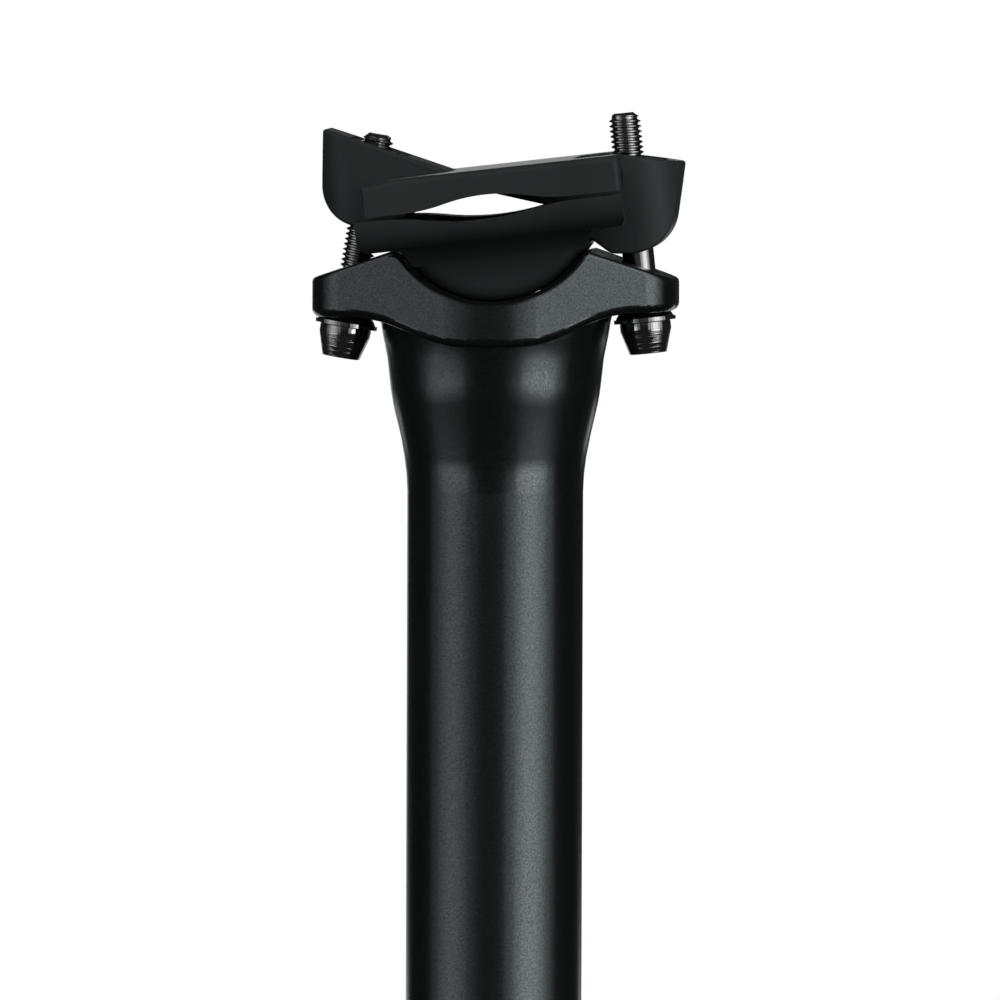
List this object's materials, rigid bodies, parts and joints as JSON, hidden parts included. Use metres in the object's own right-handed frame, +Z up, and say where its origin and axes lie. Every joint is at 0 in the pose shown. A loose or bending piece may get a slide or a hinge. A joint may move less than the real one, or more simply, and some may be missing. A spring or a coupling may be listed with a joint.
{
  "type": "bicycle seatpost",
  "caption": "Straight round bicycle seatpost with a flared neck, forged head and tilting saddle-rail clamp drawn down by bolts into barrel nuts.",
  "frame": {"origin": "centre of the post's lower end, where it enters the bicycle's seat tube", "axes": "+Z up the post, -X towards the front of the bicycle, -Y to its left"},
  "size_m": [0.0572, 0.0546, 0.3627],
  "materials": {
    "blasted_black": "bead-blasted black anodised",
    "clamp_black": "smooth matte black anodised",
    "fastener_black": "glossy black"
  },
  "bodies": {
    "post": {"post": "blasted_black"},
    "clamp": {"lower_clamp": "clamp_black", "upper_clamp": "clamp_black"},
    "front_bolt_set": {"front_bolt": "fastener_black", "front_washer": "fastener_black"},
    "rear_bolt_set": {"rear_bolt": "fastener_black", "rear_washer": "fastener_black"},
    "front_nut": {"front_barrel_nut": "fastener_black"},
    "rear_nut": {"rear_barrel_nut": "fastener_black"}
  },
  "joints": [
    {"name": "clamp_tilt", "type": "hinge", "parent": "post", "child": "clamp", "pos_m": [0, 0, 0.35], "axis": [0, -1, 0], "range_deg": [-1, 13]},
    {"name": "front_bolt_swing", "type": "hinge", "parent": "post", "child": "front_bolt_set", "pos_m": [-0.02342, 0, 0.32787], "axis": [0, -1, 0], "range_deg": [-1.6, 0.2]},
    {"name": "rear_bolt_swing", "type": "hinge", "parent": "post", "child": "rear_bolt_set", "pos_m": [0.02323, 0, 0.32873], "axis": [0, -1, 0], "range_deg": [-1.3, 0.2]},
    {"name": "front_nut_turn", "type": "hinge", "parent": "clamp", "child": "front_nut", "pos_m": [-0.01928, 0, 0.35268], "axis": [0, -1, 0], "range_deg": [-14.7, 1.3]},
    {"name": "rear_nut_turn", "type": "hinge", "parent": "clamp", "child": "rear_nut", "pos_m": [0.02119, 0, 0.34819], "axis": [0, -1, 0], "range_deg": [-14.4, 1.3]}
  ],
  "couplings": [
    {"joint": "front_bolt_swing", "follows": "clamp_tilt", "ratio": -0.1115},
    {"joint": "rear_bolt_swing", "follows": "clamp_tilt", "ratio": -0.088},
    {"joint": "front_nut_turn", "follows": "clamp_tilt", "ratio": -1.1115},
    {"joint": "rear_nut_turn", "follows": "clamp_tilt", "ratio": -1.088}
  ]
}
